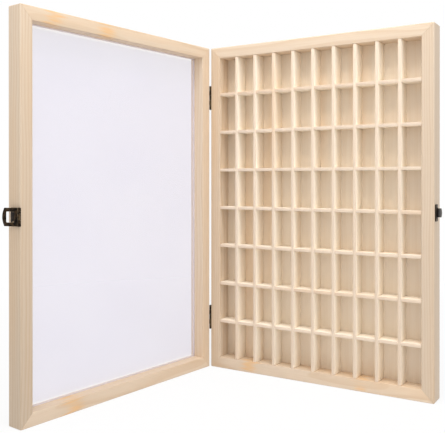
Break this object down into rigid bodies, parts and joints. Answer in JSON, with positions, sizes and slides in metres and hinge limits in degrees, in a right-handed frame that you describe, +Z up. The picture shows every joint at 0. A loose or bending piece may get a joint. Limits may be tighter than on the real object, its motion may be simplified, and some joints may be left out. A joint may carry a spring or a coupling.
{
  "type": "film roll display box",
  "caption": "Shallow wooden display case that opens like a book: a tray with a lattice of upright compartments for film rolls, and a hinged lid with a clear panel and a hasp.",
  "frame": {"origin": "centre of the tray's bottom face, which the case stands on", "axes": "+Z up along the case's longest side, +X across the tray from its hinge side to its latch side, +Y out of the tray's back; the compartments open towards -Y"},
  "size_m": [0.4181, 0.3856, 0.5015],
  "materials": {
    "pine": "planed, unfinished pale pine",
    "divider": "sanded, unfinished thin pale wood",
    "plywood": "pale plywood, unfinished",
    "clear_panel": "clear acrylic sheet",
    "bronze": "antique bronze plated steel",
    "screw": "antique bronze plated steel, worn lighter on the crown"
  },
  "bodies": {
    "tray": {"tray_rail_top": "pine", "tray_rail_bottom": "pine", "tray_stile_hinge_side": "pine", "tray_stile_latch_side": "pine", "back_panel": "plywood", "vertical_divider_1": "divider", "vertical_divider_2": "divider", "vertical_divider_3": "divider", "vertical_divider_4": "divider", "vertical_divider_5": "divider", "vertical_divider_6": "divider", "vertical_divider_7": "divider", "vertical_divider_8": "divider", "vertical_divider_9": "divider", "horizontal_divider_1": "divider", "horizontal_divider_2": "divider", "horizontal_divider_3": "divider", "horizontal_divider_4": "divider", "horizontal_divider_5": "divider", "horizontal_divider_6": "divider", "horizontal_divider_7": "divider", "upper_hinge_tray_leaf": "bronze", "lower_hinge_tray_leaf": "bronze", "upper_hinge_pin": "bronze", "lower_hinge_pin": "bronze", "upper_hinge_tray_screw_1": "screw", "upper_hinge_tray_screw_2": "screw", "lower_hinge_tray_screw_1": "screw", "lower_hinge_tray_screw_2": "screw", "catch_plate": "bronze", "catch_screw_1": "screw", "catch_screw_2": "screw"},
    "lid": {"lid_rail_top": "pine", "lid_rail_bottom": "pine", "lid_stile_hinge_side": "pine", "lid_stile_latch_side": "pine", "lid_panel": "clear_panel", "upper_hinge_lid_leaf": "bronze", "lower_hinge_lid_leaf": "bronze", "upper_hinge_lid_screw_1": "screw", "upper_hinge_lid_screw_2": "screw", "lower_hinge_lid_screw_1": "screw", "lower_hinge_lid_screw_2": "screw", "hasp_base_plate": "bronze", "hasp_pin": "bronze", "hasp_screw_1": "screw", "hasp_screw_2": "screw"},
    "hasp_flap": {"hasp_flap": "bronze"}
  },
  "joints": [
    {"name": "lid_hinge", "type": "hinge", "parent": "tray", "child": "lid", "pos_m": [-0.17585, -0.0142, 0.25075], "axis": [0, 0, 1], "range_deg": [-84, 96]},
    {"name": "hasp_swing", "type": "hinge", "parent": "lid", "child": "hasp_flap", "pos_m": [-0.21216, -0.36543, 0.25075], "axis": [0, 0, 1], "range_deg": [-15, 160]}
  ]
}
